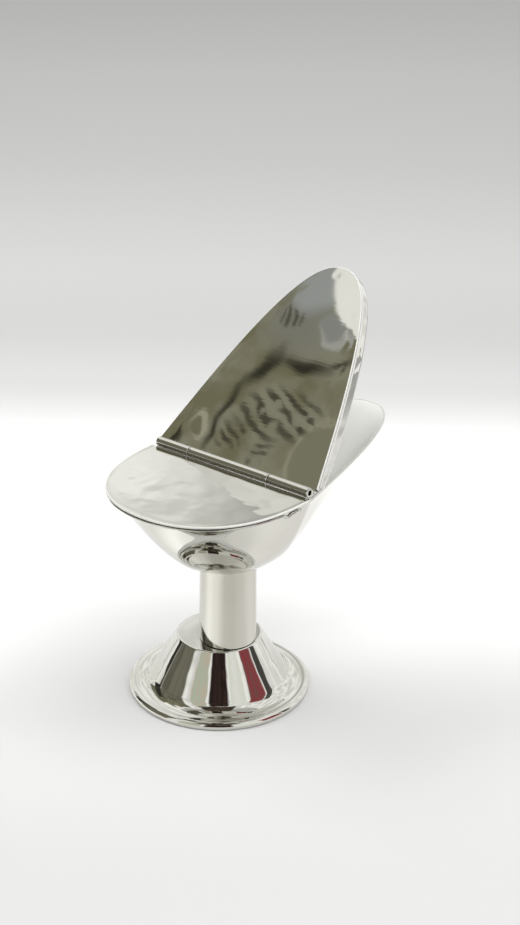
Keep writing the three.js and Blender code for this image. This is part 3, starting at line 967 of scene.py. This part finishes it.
# Each patch is its centre, its half size, its turn in degrees, its softness and its paint. A patch of strokes
# also has their pitch and their turn. A patch over a larger and paler one leaves a pale ring.
LID_VIEW_PATCHES = (
    ((68, 4), (24, 28), 0, 0.8, GREY),
    ((86, 4), (19, 15), 0, 0.5, BLUISH),
    ((10, -38), (24, 19), 25, 0.12, (0.42, 0.41, 0.30)),
    ((10, -38), (22, 17.5), 25, 0.12, (0.27, 0.265, 0.19)),
    ((13, 26), (8, 5), 30, 0.15, (0.46, 0.45, 0.34)),
    ((12, 27), (6, 3.5), 30, 0.2, (0.22, 0.21, 0.14)),
    ((27, -7), (14, 23), 10, 0.4, DASH, 5.3, -25.5),
    ((13, 8), (9, 9), 0, 0.5, DASH, 4.0, -40),
    ((9, -9), (9, 5), 0, 0.5, DASH, 3.6, 0),
    ((68.5, 11), (6, 12), -15, 0.4, DASH, 3.2, -72),
    ((20, 17.5), (24, 2.4), -3, 0.7, DARK),
    ((44, 10.5), (16, 5.0), -25, 0.8, DARK),
    ((50, -6), (5.0, 17), 0, 0.8, DARK),
    ((4, 34), (12, 3.5), 20, 0.7, DARK),
    ((55, -21), (2.2, 9), 30, 0.8, DARK),
    ((67, -13), (7, 8), 0, 0.15, (0.50, 0.50, 0.47)),
    ((68.5, -11), (6.6, 7.6), 0, 0.35, (0.33, 0.34, 0.32)),
    ((92, -1.5), (7, 1.8), 0, 0.5, DARK),
    ((105, -34), (41, 39), 0, 0.05, WHITE),
)


def lid_view_place(u, v):
    """Where the sight line from the viewpoint, mirrored in the flat lid, meets a sphere of surroundings."""
    x = LID_VIEW_FROM[0] + LID_VIEW_SIZE[0] * u
    y = LID_VIEW_FROM[1] + LID_VIEW_SIZE[1] * v
    on_lid, above_lid = lid_frame([(x, y, plate_level + SHEET / 2), (x, y, plate_level + SHEET / 2 + 1)])
    mirrored = (on_lid * MM - viewpoint).reflect(above_lid - on_lid).normalized()
    start = on_lid * MM - SURROUNDINGS_CENTRE
    along = start.dot(mirrored)
    reach = math.sqrt(along ** 2 - start.length_squared + LID_VIEW_RADIUS ** 2) - along
    return on_lid * MM + mirrored * reach


def lid_view_material():
    graph = Graph("lid_view")
    place = graph.mapped(graph.place("UV"), (*LID_VIEW_FROM, 0), scale=(*LID_VIEW_SIZE, 1))
    shifted = graph.mapped(place, (-LID_VIEW_SWIRL / 2, -LID_VIEW_SWIRL / 2, 0))
    swirl = graph.noise(place, 0.07, 1, "Color")
    swirled = graph.stirred(shifted, swirl, (LID_VIEW_SWIRL, LID_VIEW_SWIRL, 0))
    color = graph.mix(graph.spread(graph.noise(place, 0.05, 3), 0.4, 0.6, 0, 1), OLIVE, OLIVE_LIGHT)

    def patch(below, centre, size, turn, soft, paint, pitch=None, across=0.0):
        """An ellipse of paint with a soft border, striped when a pitch is given."""
        local = graph.mapped(swirled, (*centre, 0), (0, 0, math.radians(turn)), (*size, 1), "TEXTURE")
        amount = graph.spread(graph.distance(local), 1 - soft, 1, 1, 0)
        if pitch:
            turned_across = (0, 0, math.radians(across))
            bands = graph.mapped(swirled, turn=turned_across, scale=(pitch, pitch, 1), kind="TEXTURE")
            dashes = graph.spread(graph.stripes(bands, WAVE_SCALE, 0.5), 0.42, 0.62, 0, 1)
            broken = graph.spread(graph.noise(place, 0.16, 0), 0.36, 0.42, 0.05, 1)
            amount = graph.times(graph.times(amount, dashes), broken)
        return graph.mix(amount, below, paint)

    for row in LID_VIEW_PATCHES:
        color = patch(color, *row)
    graph.glow(color)
    return graph.material


curved_grid("lid_view", 12, 12, lid_view_place, lid_view_material())

# The floor near the foot as mirrors see it, a glowing sheet laid over the paper: painted shade on the
# camera's side of the foot, and painted light beside it. Directions are in degrees from the camera's, to the
# right.
MIRRORED_FLOOR_SIDE = 150
MIRRORED_FLOOR_LIFT = 0.0005
MIRRORED_FLOOR_WAVES = 0.12
MIRRORED_FLOOR_NEAR, MIRRORED_FLOOR_FAR = 0.040, 0.36
MIRRORED_FLOOR_SHADING = ((-150, (1.0, 1.0, 0.97)), (-110, (1.04, 1.04, 1.0)), (-72, (1.42, 1.42, 1.37)),
                        (-38, (1.22, 1.22, 1.17)), (-8, (0.82, 0.81, 0.76)), (18, (0.80, 0.79, 0.74)),
                        (46, (0.88, 0.87, 0.83)), (92, (1.05, 1.04, 1.0)), (137, (0.90, 0.89, 0.86)))


def mirrored_floor_place(u, v):
    a = CAMERA_TURN + math.radians(MIRRORED_FLOOR_SIDE * (2 * u - 1))
    reach = MIRRORED_FLOOR_NEAR + (MIRRORED_FLOOR_FAR - MIRRORED_FLOOR_NEAR) * v
    x = foot_axis.x * MM + reach * math.cos(a)
    y = foot_axis.y * MM + reach * math.sin(a)
    return Vector((x, y, MIRRORED_FLOOR_LIFT))


def mirrored_floor_material():
    graph = Graph("mirrored_floor")
    place = graph.place("UV")
    waves = graph.noise(graph.mapped(place, scale=(3, 1, 1)), 1.5, 1, "Color")
    shifted = graph.mapped(place, (-MIRRORED_FLOOR_WAVES / 2, 0, 0))
    x, y = graph.parts(graph.stirred(shifted, waves, (MIRRORED_FLOOR_WAVES, 0, 0)))
    stops = [(0.5 + 0.5 * turn / MIRRORED_FLOOR_SIDE, color) for turn, color in MIRRORED_FLOOR_SHADING]
    opacity = graph.times(graph.spread(x, 0.0, 0.1, 0, 1), graph.spread(x, 0.9, 1.0, 1, 0))
    opacity = graph.times(opacity, graph.spread(y, 0.6, 1.0, 1, 0))
    graph.glow(graph.tones(x, stops), opacity)
    return graph.material


curved_grid("mirrored_floor", 60, 8, mirrored_floor_place, mirrored_floor_material())

world = bpy.data.worlds.new("studio")
world.use_nodes = True
world.node_tree.nodes["Background"].inputs["Color"].default_value = (*SKY, 1)
world.node_tree.nodes["Background"].inputs["Strength"].default_value = 1.0
bpy.context.scene.world = world


def soft_light(name, turn, rise, distance, size, power):
    """A square soft box that points at the object and isn't seen in it."""
    data = bpy.data.lights.new(name, "AREA")
    data.shape = "SQUARE"
    data.size = size
    data.energy = power
    lamp = bpy.data.objects.new(name, data)
    lamp.location = around_object(turn, rise, distance)
    lamp.rotation_euler = (SURROUNDINGS_CENTRE - lamp.location).to_track_quat("-Z", "Y").to_euler()
    lamp.visible_glossy = False
    lamp.visible_camera = False
    bpy.context.scene.collection.objects.link(lamp)


soft_light("key_left", -106, 52, 1.0, 0.5, 3.8)
soft_light("fill_top", 30, 80, 1.2, 0.9, 6.6)
soft_light("fill_right", 70, 50, 1.1, 0.8, 5)

camera_data = bpy.data.cameras.new("camera")
camera_data.sensor_fit = "VERTICAL"
camera_data.sensor_height = 36
camera_data.lens = LENS
camera = bpy.data.objects.new("camera", camera_data)
level = (-away).to_track_quat("-Z", "Y").to_matrix().to_4x4()
stand = Matrix.Translation(viewpoint)
camera.matrix_world = stand @ level @ Matrix.Rotation(CAMERA_ROLL, 4, "Z")
bpy.context.scene.collection.objects.link(camera)
bpy.context.scene.camera = camera
bpy.context.scene.view_settings.view_transform = "Standard"
